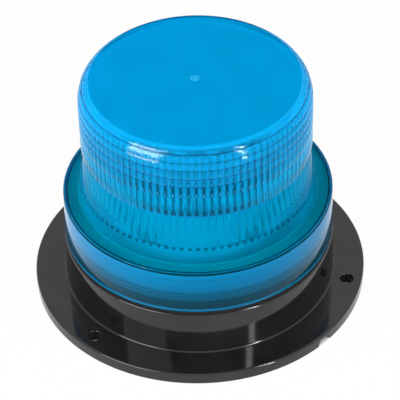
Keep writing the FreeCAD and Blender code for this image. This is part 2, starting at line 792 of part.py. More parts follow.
def main():
    os.makedirs("parts", exist_ok=True)
    for name, shape in all_parts().items():
        if isinstance(shape, list):
            shape = Part.makeCompound(shape)
        shape.exportStep(f"parts/{name}.step")
        print(name, "solids", len(shape.Solids), "valid", shape.isValid(), "volume", round(shape.Volume, 1))


main()
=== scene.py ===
# %% [markdown]
# A blue warning beacon, as it is bolted to machines and vehicles: a black base with a round flange,
# a screw-on blue lens with rings outside and fine flutes inside, and a short tower of lights behind it.
# The solid model is loaded as a fixed frame, so every new piece goes exactly where its solid is.

# %% Load the solid model
import bpy
import math
from mathutils import Matrix, Vector


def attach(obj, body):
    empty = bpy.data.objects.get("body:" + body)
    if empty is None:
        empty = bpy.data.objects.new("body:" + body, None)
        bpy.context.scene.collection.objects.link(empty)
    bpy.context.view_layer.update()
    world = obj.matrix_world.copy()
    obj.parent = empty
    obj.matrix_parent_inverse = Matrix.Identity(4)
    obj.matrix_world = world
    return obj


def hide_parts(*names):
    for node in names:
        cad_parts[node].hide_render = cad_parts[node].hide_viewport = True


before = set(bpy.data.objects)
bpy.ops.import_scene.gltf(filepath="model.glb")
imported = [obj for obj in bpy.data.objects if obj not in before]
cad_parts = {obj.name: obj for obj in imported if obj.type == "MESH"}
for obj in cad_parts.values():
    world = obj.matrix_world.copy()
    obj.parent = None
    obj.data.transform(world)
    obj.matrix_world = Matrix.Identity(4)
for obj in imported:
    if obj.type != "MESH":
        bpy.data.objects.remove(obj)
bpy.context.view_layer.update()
MM = 0.001

# %% [markdown]
# Most pieces of the beacon are round: base, seal and lens were all turned or moulded about one axis.
# By hand such a piece starts as half of its cross-section, drawn vertex by vertex with Extrude, and Spin
# carries that line round the axis. A corner that is given with three numbers has a rounding, which is
# worked out as a short arc, because a moulded edge is never knife sharp.

# %% Helpers for drawing a cross-section
SEED_SIZE = 0.01


def leave_edit_mode():
    if bpy.context.mode != "OBJECT":
        bpy.ops.object.mode_set(mode="OBJECT")


def only(piece):
    """Select one piece and nothing else."""
    leave_edit_mode()
    bpy.ops.object.select_all(action="DESELECT")
    piece.select_set(True)
    bpy.context.view_layer.objects.active = piece


def edit_all(piece):
    """Open a piece in Edit Mode with all of its mesh selected."""
    only(piece)
    bpy.ops.object.mode_set(mode="EDIT")
    bpy.ops.mesh.select_all(action="SELECT")


def rounded(corners, steps=5):
    """The points of a line of corners, where a corner's third number is the radius of its rounding."""
    line = []
    for i, corner in enumerate(corners):
        here = Vector(corner[:2])
        if len(corner) == 2:
            line.append(here)
            continue
        back = (Vector(corners[i - 1][:2]) - here).normalized()
        ahead = (Vector(corners[(i + 1) % len(corners)][:2]) - here).normalized()
        half = back.angle(ahead) / 2
        reach = corner[2] / math.tan(half)
        centre = here + (back + ahead).normalized() * (corner[2] / math.sin(half))
        start = here + back * reach - centre
        turn = start.angle_signed(here + ahead * reach - centre)
        for k in range(steps + 1):
            line.append(centre + Matrix.Rotation(-turn * k / steps, 2) @ start)
    return line


def draw_line(name, line, closed=True):
    """Draw points as distance from the axis and height, from a small plane that is merged to one vertex."""
    leave_edit_mode()
    bpy.ops.object.select_all(action="DESELECT")
    bpy.ops.mesh.primitive_plane_add(size=SEED_SIZE, location=(0, 0, 0))
    piece = bpy.context.active_object
    piece.name = piece.data.name = name
    edit_all(piece)
    bpy.ops.mesh.merge(type="CENTER")
    place = [Vector((p.x * MM, 0, p.y * MM)) for p in line]
    bpy.ops.transform.translate(value=place[0])
    for before, after in zip(place, place[1:]):
        bpy.ops.mesh.extrude_vertices_move(TRANSFORM_OT_translate={"value": after - before})
    leave_edit_mode()
    if closed:
        last = len(piece.data.vertices) - 1
        for v in piece.data.vertices:
            v.select = v.index in (0, last)
        bpy.ops.object.mode_set(mode="EDIT")
        bpy.ops.mesh.edge_face_add()
    leave_edit_mode()
    return piece


# %% [markdown]
# Spin does three jobs here: it sweeps a cross-section into a wall, it sweeps a narrow slice, and with
# copies it repeats a finished shape round the axis. Parts of a mesh are picked by a test on their place,
# as one would pick them by eye, and smooth shading stops at edges that are sharper than an angle.

# %% Helpers for spinning, picking and smoothing
DOUBLES = 0.01


def around(p):
    """How far a point is from the axis."""
    return math.hypot(p.x, p.y)


def spin_round(piece, steps, degrees=360.0, copies=False):
    edit_all(piece)
    angle = math.radians(degrees)
    bpy.ops.mesh.spin(steps=steps, dupli=copies, angle=angle, center=(0, 0, 0), axis=(0, 0, 1))
    bpy.ops.mesh.select_all(action="SELECT")
    bpy.ops.mesh.remove_doubles(threshold=DOUBLES * MM)
    bpy.ops.mesh.normals_make_consistent(inside=False)
    leave_edit_mode()


def repeat_round(piece, count):
    spin_round(piece, count - 1, 360 - 360 / count, copies=True)


def pick(piece, test, kind="VERT"):
    """Select what passes a test, stay in Edit Mode and tell how much it was."""
    only(piece)
    bpy.ops.object.mode_set(mode="EDIT")
    bpy.ops.mesh.select_mode(type=kind)
    bpy.ops.mesh.select_all(action="DESELECT")
    bpy.ops.object.mode_set(mode="OBJECT")
    mesh = piece.data
    if kind == "VERT":
        chosen = [v for v in mesh.vertices if test(v.co / MM)]
    else:
        chosen = [f for f in mesh.polygons if test(f.center / MM, f.normal)]
    for item in chosen:
        item.select = True
    bpy.ops.object.mode_set(mode="EDIT")
    return len(chosen)


def smooth(piece, degrees):
    only(piece)
    bpy.ops.object.shade_smooth_by_angle(angle=math.radians(degrees))
    size = [round(v / MM, 1) for v in piece.dimensions]
    print(piece.name, "faces", len(piece.data.polygons), "size in mm", size)


# %% [markdown]
# The lens is one clear blue moulding. Its cross-section starts at the foot of a plain band, goes over a
# flat shoulder with a low rim and up a foot that narrows to a ledge under the belt. A row of beads runs
# round the foot. The line has points at the heights of the beads already, because a bead can only be
# raised where the surface has vertices.

# %% Band, shoulder and foot of the lens
LENS_FOOT, SHOULDER = 31.5, 55.0
BAND_BORE, BAND_FOOT, BAND_RIM = 63.0, 66.4, 65.9
RIM_HIGH, RIM_TOP, RIM_FOOT, RIM_LINE = 0.35, 64.9, 64.5, 63.8
DRUM_FOOT, FOOT_TOP, DRUM = 58.4, 54.2, 55.4
OPTIC, OPTIC_EDGE, BELT_TOP = 81.4, 0.5, 93.2
BEAD_Z, BEAD_ROUND, BEAD_HIGH = 63.5, 1.2, 0.7


def foot_radius(z):
    return DRUM_FOOT - (z - SHOULDER) / (OPTIC - SHOULDER) * (DRUM_FOOT - FOOT_TOP)


bead_rows = [BEAD_Z + BEAD_ROUND * k / 3 for k in range(-3, 4)]
outside = rounded([
    (BAND_BORE, LENS_FOOT), (BAND_FOOT, LENS_FOOT, 0.8), (BAND_RIM + 0.02, SHOULDER - 0.8),
    (BAND_RIM, SHOULDER + RIM_HIGH, 0.4), (RIM_TOP, SHOULDER + RIM_HIGH, 0.3), (RIM_FOOT, SHOULDER, 0.3),
    (RIM_LINE, SHOULDER), (DRUM_FOOT, SHOULDER, 1.0), *((foot_radius(z), z) for z in bead_rows),
    (FOOT_TOP, OPTIC), (DRUM, OPTIC, OPTIC_EDGE), (DRUM, BELT_TOP)], 3)[:-1]
print("points up to the belt", len(outside))

# %% [markdown]
# Above the ledge the lens is a belt and a stack of rings that turns over into a rounded edge. Each is a
# flat arc that stands up to half a millimetre proud of its chord, which is what splits every reflection
# into bright bows. The rings aren't evenly spaced, so their tops are listed and one loop draws the arcs.

# %% Belt, rings and rounded edge
RING_TOPS = (BELT_TOP, 99.6, 104.2, 109.3, 113.3, 117.0, 118.8)
CROWN, CROWN_SHARE, CROWN_STEPS = 0.5, 0.12, 5
EDGE_START, EDGE = 110.3, 12.0


def drum_radius(z):
    if z <= EDGE_START:
        return DRUM
    return DRUM - EDGE + math.sqrt(EDGE ** 2 - (z - EDGE_START) ** 2)


def crowned(low, high, crown):
    """Points of an arc from low to high that bulges outwards by its crown."""
    chord = high - low
    outward = Vector((chord.y, -chord.x)).normalized()
    radius = (chord.length ** 2 / 4 + crown ** 2) / (2 * crown)
    centre = (low + high) / 2 + outward * (crown - radius)
    sweep = (low - centre).angle_signed(high - centre)
    turns = (Matrix.Rotation(-sweep * k / CROWN_STEPS, 2) for k in range(1, CROWN_STEPS + 1))
    return [centre + turn @ (low - centre) for turn in turns]


for z in RING_TOPS:
    corner = Vector((drum_radius(z), z))
    crown = min(CROWN, (corner - outside[-1]).length * CROWN_SHARE)
    outside += crowned(outside[-1], corner, crown)
print("belt and rings", len(RING_TOPS), "points so far", len(outside))

# %% [markdown]
# The top is flat. In its middle is the small raised ring with a dimple where the plastic flowed into the
# mould, which is called the gate. It is only a few corners of the same line, so it costs nothing to have.

# %% Top and gate mark
LENS_TOP = 120.26
TOP_FLAT, TOP_ROUND, TOP_LOOP = 50.2, 1.6, 30.0
GATE, GATE_HIGH, GATE_DEEP, GATE_ROUND = 2.3, 0.25, 0.2, 0.15
outside += rounded([outside[-1], (TOP_FLAT, LENS_TOP, TOP_ROUND), (TOP_LOOP, LENS_TOP)])[1:]
outside += rounded([
    (GATE, LENS_TOP), (GATE - 0.4, LENS_TOP + GATE_HIGH, GATE_ROUND),
    (GATE - 1.0, LENS_TOP + GATE_HIGH, GATE_ROUND), (GATE - 1.3, LENS_TOP - GATE_DEEP)])
outside.append(Vector((0, LENS_TOP - GATE_DEEP)))
print("outside points", len(outside))

# %% [markdown]
# The inside follows at the distance of the wall, from the ceiling down to the bore of the band. Here too
# the line gets points at the heights where the flutes change: they are deep behind the rings and the
# belt, and fade out down the foot. Each height is listed with its share of the full depth.

# %% Inside of the lens
WALL = 3.0
BORE_TOP = SHOULDER - WALL
FLUTE_FOOT, FLUTE_TOP, FLUTE_DEPTH = 60.4, 114.6, 0.9
CEILING, CEILING_ROUND = LENS_TOP - WALL, 2.2
CREST = DRUM - WALL - FLUTE_DEPTH


def bore_radius(z):
    rise = min((z - BORE_TOP) / (OPTIC - BORE_TOP), 1)
    return DRUM_FOOT - WALL - rise * (DRUM_FOOT - DRUM)


flute_rows = {
    FLUTE_TOP - 0.2: 1.0, EDGE_START: 1.0, RING_TOPS[1]: 1.0, OPTIC + 1.6: 1.0, OPTIC: 1.0,
    OPTIC - 3.0: 0.5, 69.0: 0.3, 65.5: 0.12, 61.0: 0.1}
inside = rounded([(0, CEILING), (CREST, CEILING, CEILING_ROUND), (CREST, FLUTE_TOP)])
inside += [Vector((bore_radius(z), z)) for z in (*flute_rows, FLUTE_FOOT, BORE_TOP)]
inside += [Vector((BAND_BORE, BORE_TOP))]
print("inside points", len(inside), "wall at the belt", DRUM - bore_radius(OPTIC))

# %% [markdown]
# The inside is lined with ninety-six upright flutes, round ribs that spread the light sideways. Modelling
# them all would be slow, but a slice as wide as one flute is enough. The cross-section is spun through
# three and three quarter degrees, and a scale about the axis draws the uprights of its inner wall inwards
# to the round of a flute.

# %% One slice with its flute
FLUTES, SLICE_STEPS = 96, 8
ROW_NEAR, WALL_NEAR, TURN_NEAR = 0.02, 0.05, 0.0001
lens_shell = draw_line("lens_shell", outside + inside)
spin_round(lens_shell, SLICE_STEPS, 360 / FLUTES)
half_width = bore_radius(OPTIC) * math.radians(180 / FLUTES)
flute_round = (half_width ** 2 + FLUTE_DEPTH ** 2) / (2 * FLUTE_DEPTH)


def slice_turn(k):
    return math.radians(360 / FLUTES * k / SLICE_STEPS)


def on_upright(p, radius, z, turn):
    on_row = abs(p.z - z) < ROW_NEAR and abs(around(p) - radius) < WALL_NEAR
    return on_row and abs(abs(math.atan2(p.y, p.x)) - turn) < TURN_NEAR


def move_upright(radius, z, turn, change):
    """Move the vertex of one upright away from the axis, or towards it where the change is negative."""
    found = pick(lens_shell, lambda p: on_upright(p, radius, z, turn))
    factor = 1 + change / radius
    bpy.ops.transform.resize(value=(factor, factor, 1), center_override=(0, 0, 0))
    return found


for k in range(1, SLICE_STEPS):
    share = abs(k / SLICE_STEPS * 2 - 1)
    push = math.sqrt(flute_round ** 2 - (share * half_width) ** 2) - (flute_round - FLUTE_DEPTH)
    for z, depth in flute_rows.items():
        found = move_upright(bore_radius(z), z, slice_turn(k), -push * depth)
print("rows of each flute", len(flute_rows), "vertices in the last", found)

# %% [markdown]
# Outside, in the middle of the same slice, one bead is raised on the foot. It is a low dome, so the
# vertices within its radius are moved out by the height that a flattened ball has there.

# %% A bead at the middle of the slice
bead_turn = math.radians(180 / FLUTES)
for z in bead_rows[1:-1]:
    for k in range(1, SLICE_STEPS):
        off = Vector((foot_radius(z) * (slice_turn(k) - bead_turn), z - BEAD_Z)).length / BEAD_ROUND
        if off < 1:
            found = move_upright(foot_radius(z), z, slice_turn(k), BEAD_HIGH * math.sqrt(1 - off ** 2))
print("bead rows", len(bead_rows) - 2, "vertices in the last", found)

# %% [markdown]
# Spin with copies now repeats the finished slice ninety-five times. The seams fall in the valleys between
# two flutes, where the neighbours share their vertices, and merging by distance closes them.

# %% Repeat the slice round the axis
repeat_round(lens_shell, FLUTES)
print("lens faces", len(lens_shell.data.polygons))

# %% [markdown]
# Inside the band runs the thread that holds the lens on the neck of the base: a blunt ridge that climbs
# six millimetres in a turn. Its cross-section is drawn once and a Screw modifier winds it up. The ends
# are pushed into the wall, so that the thread runs out as it does on a moulded screw cap. The base gets
# its own ridge half a pitch away, so the two slide past each other as the lens is turned.

# %% Thread inside the band
PITCH, RIDGE_ROOT, RIDGE_TIP, RIDGE_STEPS = 6.0, 1.2, 0.6, 120
LENS_THREAD_ROOT, LENS_THREAD_TIP, LENS_THREAD_START = BAND_BORE + 0.3, 60.9, 33.4


def thread_ridge(name, root, tip, start, turns):
    corners = ((root, -RIDGE_ROOT), (tip, -RIDGE_TIP), (tip, RIDGE_TIP), (root, RIDGE_ROOT))
    ridge = draw_line(name, [Vector((r, start + z)) for r, z in corners])
    wind = ridge.modifiers.new("wind", "SCREW")
    wind.axis, wind.angle, wind.iterations = "Z", 2 * math.pi, turns
    wind.screw_offset = PITCH * MM
    wind.steps = wind.render_steps = RIDGE_STEPS
    only(ridge)
    bpy.ops.object.modifier_apply(modifier="wind")
    last = len(ridge.data.vertices) - len(corners)
    for v in ridge.data.vertices:
        v.select = v.index < len(corners) or v.index >= last
    bpy.ops.object.mode_set(mode="EDIT")
    factor = 2 * root / (root + tip)
    bpy.ops.transform.resize(value=(factor, factor, 1), center_override=(0, 0, 0))
    bpy.ops.mesh.fill_holes(sides=8)
    bpy.ops.mesh.select_all(action="SELECT")
    bpy.ops.mesh.normals_make_consistent(inside=False)
    leave_edit_mode()
    heights = [v.co.z / MM for v in ridge.data.vertices]
    print(name, "from", round(min(heights), 2), "to", round(max(heights), 2))
    return ridge


def join_into(piece, other):
    only(piece)
    other.select_set(True)
    bpy.ops.object.join()


lens_thread = thread_ridge("lens_thread", LENS_THREAD_ROOT, LENS_THREAD_TIP, LENS_THREAD_START, turns=2)
join_into(lens_shell, lens_thread)
smooth(lens_shell, degrees=17)

# %% [markdown]
# The base is a single moulding of glossy black plastic: a flange to bolt down, a collar that carries the
# seal, a cup for the driver board and a neck for the lens thread. Its cross-section is spun like the
# lens, in steps of one and a half degrees, so that the rim stays round in a close view. Beside each
# rounding of the flange and the collar lies one more point on the straight run. It keeps smooth shading
# from bending the broad faces, which have to mirror the lamps as flat ones do.

# %% Base moulding
FLANGE, FLANGE_TOP = 82.5, 6.0
COLLAR_FOOT, COLLAR_RIM, COLLAR_TOP = 67.3, 66.5, 29.5
FLOOR_LOW, FLOOR_HIGH = 4.0, 7.0
NECK, NECK_BORE, NECK_TOP, NECK_EDGE = 58.8, 55.8, 50.5, 0.7
GROOVE, GROOVE_ROOF = 63.3, 26.3
HOLD = 1.2
base_line = rounded([
    (0, FLOOR_LOW), (NECK, FLOOR_LOW), (NECK, GROOVE_ROOF, 0.6), (GROOVE, GROOVE_ROOF, 0.6),
    (GROOVE, 0, 0.3), (FLANGE, 0, 0.3), (FLANGE, 0.8), (FLANGE, FLANGE_TOP - HOLD),
    (FLANGE, FLANGE_TOP, 0.8), (FLANGE - HOLD, FLANGE_TOP), (COLLAR_FOOT + 1.3, FLANGE_TOP),
    (COLLAR_FOOT, FLANGE_TOP, 0.8), (COLLAR_FOOT - 0.05, FLANGE_TOP + 1.6),
    (COLLAR_RIM + 0.05, COLLAR_TOP - 1.5), (COLLAR_RIM, COLLAR_TOP, 0.8), (NECK, COLLAR_TOP),
    (NECK, NECK_TOP - NECK_EDGE), (NECK - NECK_EDGE, NECK_TOP), (NECK_BORE, NECK_TOP),
    (NECK_BORE, FLOOR_HIGH, 0.8), (0, FLOOR_HIGH)])
base_shell = draw_line("base_shell", base_line, closed=False)
spin_round(base_shell, steps=240)
print("base faces", len(base_shell.data.polygons))

# %% [markdown]
# Under the cup floor the moulding is stiffened by twelve ribs and a hub ring. They are added as a moulder
# would add them to the tool: each is shaped once, repeated round the axis, and joined to the body with a
# Boolean union. They overlap the body a little, because faces that only touch don't join well.

# %% Ribs and hub
RIBS, RIB_FOOT, RIB_HALF = 12, 1.0, 1.0
HUB, HUB_BORE = 12.0, 9.5
OVERLAP, REACH = 0.5, 1.0
DEGENERATE = 0.001


def boolean(piece, tool, operation):
    """Join a tool to a piece or cut it out, and clear away the sliver faces that this may leave."""
    only(piece)
    step = piece.modifiers.new("boolean", "BOOLEAN")
    step.operation, step.solver, step.object = operation, "EXACT", tool
    bpy.ops.object.modifier_apply(modifier="boolean")
    bpy.data.objects.remove(tool, do_unlink=True)
    edit_all(piece)
    bpy.ops.mesh.dissolve_degenerate(threshold=DEGENERATE * MM)
    leave_edit_mode()


def bar(name, outline, half):
    """A bar with an upright outline, as thick as twice the half."""
    piece = draw_line(name, [Vector(p) for p in outline])
    edit_all(piece)
    bpy.ops.mesh.edge_face_add()
    bpy.ops.transform.translate(value=(0, -half * MM, 0))
    bpy.ops.mesh.extrude_region_move(TRANSFORM_OT_translate={"value": (0, 2 * half * MM, 0)})
    bpy.ops.mesh.select_all(action="SELECT")
    bpy.ops.mesh.normals_make_consistent(inside=False)
    leave_edit_mode()
    return piece


ribs = bar("ribs", (
    (HUB - REACH, RIB_FOOT), (GROOVE + REACH, RIB_FOOT), (GROOVE + REACH, GROOVE_ROOF + OVERLAP),
    (NECK - REACH, GROOVE_ROOF + OVERLAP), (NECK - REACH, FLOOR_LOW + OVERLAP),
    (HUB - REACH, FLOOR_LOW + OVERLAP)), RIB_HALF)
repeat_round(ribs, RIBS)
boolean(base_shell, ribs, "UNION")
hub = draw_line("hub", rounded([
    (HUB_BORE, RIB_FOOT, 0.2), (HUB, RIB_FOOT, 0.2), (HUB, FLOOR_LOW + OVERLAP),
    (HUB_BORE, FLOOR_LOW + OVERLAP)], 2))
spin_round(hub, steps=60)
boolean(base_shell, hub, "UNION")
print("base faces with ribs and hub", len(base_shell.data.polygons))

# %% [markdown]
# Four hollow bosses stand on the cup floor and take the screws of the driver board. One is spun about its
# own axis in the middle of the base, moved out to its circle and repeated.

# %% Bosses for the board screws
BOSSES, BOSS, BOSS_BORE, BOSS_CIRCLE, BOSS_TOP = 4, 4.2, 1.55, 43.0, 24.0


def turn_to(piece, degrees, out):
    """Move a piece's mesh out from the axis and then turn it about the axis."""
    edit_all(piece)
    bpy.ops.transform.translate(value=(out * MM, 0, 0))
    leave_edit_mode()
    piece.rotation_euler.z = math.radians(degrees)
    bpy.ops.object.transform_apply(location=False, rotation=True, scale=False)


bosses = draw_line("bosses", rounded([
    (0, FLOOR_HIGH - OVERLAP), (BOSS, FLOOR_HIGH - OVERLAP), (BOSS, BOSS_TOP, 0.3),
    (BOSS_BORE, BOSS_TOP), (BOSS_BORE, FLOOR_HIGH), (0, FLOOR_HIGH)], 2), closed=False)
spin_round(bosses, steps=32)
turn_to(bosses, 0, BOSS_CIRCLE)
repeat_round(bosses, BOSSES)
boolean(base_shell, bosses, "UNION")
print("base faces with bosses", len(base_shell.data.polygons))

# %% [markdown]
# Three bolt holes go through the flange, a channel under it lets the supply lead leave sideways, and a
# larger hole in the floor takes the rubber grommet. The drill has a flared mouth at both ends, which
# leaves the small rounded edge of a moulded hole. Its corners lie beyond the faces that it cuts, so that
# no edge of the tool lies in a face, and a Boolean difference does the cutting.

# %% Bolt holes, lead channel and inlet
HOLES, HOLE, HOLE_CIRCLE, HOLE_START = 3, 3.25, 75.0, -15.0
FLARE, BEYOND, MOUTH, MOUTH_ROUND = 1.2, 1.0, 0.2, 0.4
LEAD_ANGLE, CHANNEL_CIRCLE, CHANNEL_HALF = -45.0, 73.0, 11.0
CHANNEL_FOOT, CHANNEL_ROOF, CHANNEL_LOW, CHANNEL_HIGH = 4.43, 3.0, -0.5, 3.4
GROMMET_HOLE, GROMMET_CIRCLE = 6.0, 38.0
drill = draw_line("drill", rounded([
    (0, -BEYOND), (HOLE + FLARE, -BEYOND), (HOLE, MOUTH, MOUTH_ROUND),
    (HOLE, FLANGE_TOP - MOUTH, MOUTH_ROUND), (HOLE + FLARE, FLANGE_TOP + BEYOND),
    (0, FLANGE_TOP + BEYOND)], 4), closed=False)
spin_round(drill, steps=48)
turn_to(drill, HOLE_START, HOLE_CIRCLE)
repeat_round(drill, HOLES)
boolean(base_shell, drill, "DIFFERENCE")
channel = bar("channel", (
    (-CHANNEL_FOOT, CHANNEL_LOW), (CHANNEL_FOOT, CHANNEL_LOW), (CHANNEL_ROOF, CHANNEL_HIGH),
    (-CHANNEL_ROOF, CHANNEL_HIGH)), CHANNEL_HALF)
turn_to(channel, 90, 0)
turn_to(channel, LEAD_ANGLE, CHANNEL_CIRCLE)
boolean(base_shell, channel, "DIFFERENCE")
inlet = draw_line("inlet", rounded([
    (0, FLOOR_LOW - BEYOND), (GROMMET_HOLE, FLOOR_LOW - BEYOND), (GROMMET_HOLE, FLOOR_HIGH + BEYOND),
    (0, FLOOR_HIGH + BEYOND)]), closed=False)
spin_round(inlet, steps=48)
turn_to(inlet, LEAD_ANGLE, GROMMET_CIRCLE)
boolean(base_shell, inlet, "DIFFERENCE")
print("base faces with holes", len(base_shell.data.polygons))

# %% [markdown]
# The neck gets the ridge that the lens turns on, one and a half pitches above the start of the lens's own
# ridge. It is joined to the base as loose geometry that reaches into the wall, since nothing of the
# overlap is ever seen.

# %% Thread on the neck
NECK_THREAD_ROOT, NECK_THREAD_TIP = NECK - 0.4, 61.9
NECK_THREAD_START = LENS_THREAD_START + 1.5 * PITCH
neck_thread = thread_ridge("neck_thread", NECK_THREAD_ROOT, NECK_THREAD_TIP, NECK_THREAD_START, turns=1)
join_into(base_shell, neck_thread)
smooth(base_shell, degrees=30)

# %% [markdown]
# A black rubber ring lies between the collar and the band, and it is squeezed as the lens is screwed
# down. It is a moulded ring with soft corners and two small lips on top, so it starts as a closed
# cross-section that is spun once.

# %% Seal ring
SEAL_BORE, SEAL_RIM, SEAL_FLAT, SEAL_ROUND = 60.0, 66.0, 31.35, 0.4
LIP_MIDDLES, LIP_FOOT, LIP_TOP, LIP_ROUND = (64.6, 62.0), 0.4, 0.2, 0.1
lip_steps = ((LIP_FOOT, SEAL_FLAT), (LIP_TOP, LENS_FOOT), (-LIP_TOP, LENS_FOOT), (-LIP_FOOT, SEAL_FLAT))
lips = [(middle + off, z, LIP_ROUND) for middle in LIP_MIDDLES for off, z in lip_steps]
seal_ring = draw_line("seal_ring", rounded([
    (SEAL_BORE, COLLAR_TOP, SEAL_ROUND), (SEAL_RIM - 0.1, COLLAR_TOP, SEAL_ROUND),
    (SEAL_RIM, SEAL_FLAT, SEAL_ROUND), *lips, (SEAL_BORE, SEAL_FLAT, SEAL_ROUND)], 3))
spin_round(seal_ring, steps=180)
smooth(seal_ring, degrees=40)

# %% [markdown]
# The three new pieces take the place of their solids. Each rides on the body that it belongs to, so that
# the lens turns and rises, the seal rises with it and the base stays. All other pieces keep their solid.

# %% Pieces ride on their bodies
for piece, body, node, slot in ((lens_shell, "lens", "lens", "blue_lens"),
                                (base_shell, "base", "base_housing", "black_plastic"),
                                (seal_ring, "seal", "lens_seal", "seal_rubber")):
    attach(piece, body)
    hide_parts(node)
    print(piece.name, "rides on", body)

# %% [markdown]
# Finishes come next. Nothing on the beacon is one flat colour: moulded plastic has a faint orange peel
# and uneven gloss, drawn metal has streaks, rubber is dusty. One helper sets the numbers that are the
# same all over straight on the shader, and a second adds a noise in the piece's own coordinates that
# moves the colour between two shades, changes the gloss a little and lifts the surface by hundredths.

# %% Helpers for finishes
NOISE_DETAIL, SHADE_STOPS, GLOSS_SPAN = 5, (0.35, 0.65), (0.3, 0.7)
RELIEF_HIGH = 0.2


def new_finish(name, color, **numbers):
    """A material with constants on the shader's own sockets."""
    made = bpy.data.materials.new(name)
    made.use_nodes = True
    shader = made.node_tree.nodes["Principled BSDF"]
    shader.inputs["Base Color"].default_value = (*color, 1)
    for socket, value in numbers.items():
        shader.inputs[socket.replace("_", " ")].default_value = value
    return made


def mottled(name, dark, light, scale, gloss, relief=0.1, stretch=(1, 1, 1), **numbers):
    """A finish with a noise between two shades and two values of gloss."""
    made = new_finish(name, light, **numbers)
    nodes, links = made.node_tree.nodes, made.node_tree.links
    shader = nodes["Principled BSDF"]
    where, fit = nodes.new("ShaderNodeTexCoord"), nodes.new("ShaderNodeMapping")
    noise, shades = nodes.new("ShaderNodeTexNoise"), nodes.new("ShaderNodeValToRGB")
    rough, bump = nodes.new("ShaderNodeMapRange"), nodes.new("ShaderNodeBump")
    fit.inputs["Scale"].default_value = stretch
    noise.inputs["Scale"].default_value = scale
    noise.inputs["Detail"].default_value = NOISE_DETAIL
    for stop, color, place in zip(shades.color_ramp.elements, (dark, light), SHADE_STOPS):
        stop.color, stop.position = (*color, 1), place
    for socket, value in zip(("From Min", "From Max", "To Min", "To Max"), (*GLOSS_SPAN, *gloss)):
        rough.inputs[socket].default_value = value
    bump.inputs["Strength"].default_value = relief
    bump.inputs["Distance"].default_value = RELIEF_HIGH * MM
    links.new(where.outputs["Object"], fit.inputs["Vector"])
    links.new(fit.outputs["Vector"], noise.inputs["Vector"])
    links.new(noise.outputs["Fac"], shades.inputs["Fac"])
    links.new(noise.outputs["Fac"], rough.inputs["Value"])
    links.new(noise.outputs["Fac"], bump.inputs["Height"])
    links.new(shades.outputs["Color"], shader.inputs["Base Color"])
    links.new(rough.outputs["Result"], shader.inputs["Roughness"])
    links.new(bump.outputs["Normal"], shader.inputs["Normal"])
    return made


def paint(made, *names):
    """Give a finish to solids that are shown as they are."""
    for name in names:
        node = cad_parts[name]
        node.data.materials.clear()
        node.data.materials.append(made)
    print(made.name, "on", ", ".join(names))


# %% [markdown]
# The base is polished in the tool, so it mirrors the room like a piano key. Its gloss changes by a few
# hundredths only, and the relief is kept so low that it does no more than make the mirrored edges waver.
# The seal under the lens and the lead grommet are matt rubber.

# %% Black plastic and rubber
black_gloss = mottled("black_gloss", (0.006, 0.006, 0.007), (0.011, 0.011, 0.012), 45, (0.05, 0.1), 0.15,
                      IOR=1.48)
soft_rubber = mottled("soft_rubber", (0.008, 0.008, 0.009), (0.02, 0.02, 0.021), 900, (0.55, 0.75), 0.3,
                      Specular_IOR_Level=0.08)
base_shell.data.materials.append(black_gloss)
seal_ring.data.materials.append(soft_rubber)
paint(soft_rubber, "cable_grommet")

# %% [markdown]
# Behind the lens stand the parts of the lamp. The plate is white moulded plastic and throws light back up.
# Round the foot of the tower its colour holds painted shade, a dark ring which is what the dark stripes
# behind the belt are. The painted shade fades out, so it is a ramp over the distance from the axis and needs
# no picture. The tower is bare aluminium. The same helper can also shade a piece by its height, which the
# lens will need.

# %% Plate and tower
# A dark ring of painted shade round the foot of the tower, fading out between these radii.
PLATE_SHADE_INNER, PLATE_SHADE_OUTER = 20.0, 40.0
PLATE_SHADE_STOPS = ((0.3, (0.012, 0.012, 0.013)), (0.5, (0.18, 0.18, 0.18)), (0.65, (0.5, 0.5, 0.5)))


def shade_along(made, low, high, stops, outwards=False):
    """Colour a finish by height, or by the distance from the axis, with stops between low and high."""
    nodes, links = made.node_tree.nodes, made.node_tree.links
    where, split = nodes.new("ShaderNodeTexCoord"), nodes.new("ShaderNodeSeparateXYZ")
    level, shades = nodes.new("ShaderNodeMapRange"), nodes.new("ShaderNodeValToRGB")
    level.inputs["From Min"].default_value = low * MM
    level.inputs["From Max"].default_value = high * MM
    ends = shades.color_ramp.elements
    while len(ends) < len(stops):
        ends.new(0.5)
    for end, (place, color) in zip(ends, stops):
        end.position, end.color = place, (*color, 1)
    links.new(where.outputs["Object"], split.inputs["Vector"])
    measure = split.outputs["Z"]
    if outwards:
        flat, reach = nodes.new("ShaderNodeCombineXYZ"), nodes.new("ShaderNodeVectorMath")
        reach.operation = "LENGTH"
        for axis in ("X", "Y"):
            links.new(split.outputs[axis], flat.inputs[axis])
        links.new(flat.outputs["Vector"], reach.inputs[0])
        measure = reach.outputs["Value"]
    links.new(measure, level.inputs["Value"])
    links.new(level.outputs["Result"], shades.inputs["Fac"])
    links.new(shades.outputs["Color"], nodes["Principled BSDF"].inputs["Base Color"])


white_moulded = mottled("white_moulded", (0.80, 0.81, 0.81), (0.88, 0.89, 0.88), 160, (0.3, 0.45), 0.05)
shade_along(white_moulded, PLATE_SHADE_INNER, PLATE_SHADE_OUTER, PLATE_SHADE_STOPS, outwards=True)
paint(white_moulded, "reflector_plate")
tower_metal = mottled("tower_metal", (0.6, 0.6, 0.61), (0.75, 0.75, 0.76), 300, (0.35, 0.5), 0.1,
                      (1, 1, 0.05), Metallic=0.6)
paint(tower_metal, "led_tower")

# %% [markdown]
# Circuit boards are glass cloth under a coloured lacquer. The weave shows as a fine checker in the gloss,
# and the copper tracks below it as slightly paler bands, which a stretched brick pattern gives well
# enough for parts that sit in the dark.

# %% Circuit boards
TRACKS = {"Scale": 60, "Mortar Size": 0.06, "Brick Width": 1.2, "Row Height": 0.35}
WEAVE_SCALE, WEAVE_GLOSS = 2500, (0.3, 0.42)
TRACK_RELIEF, TRACK_HIGH = 0.15, 0.05


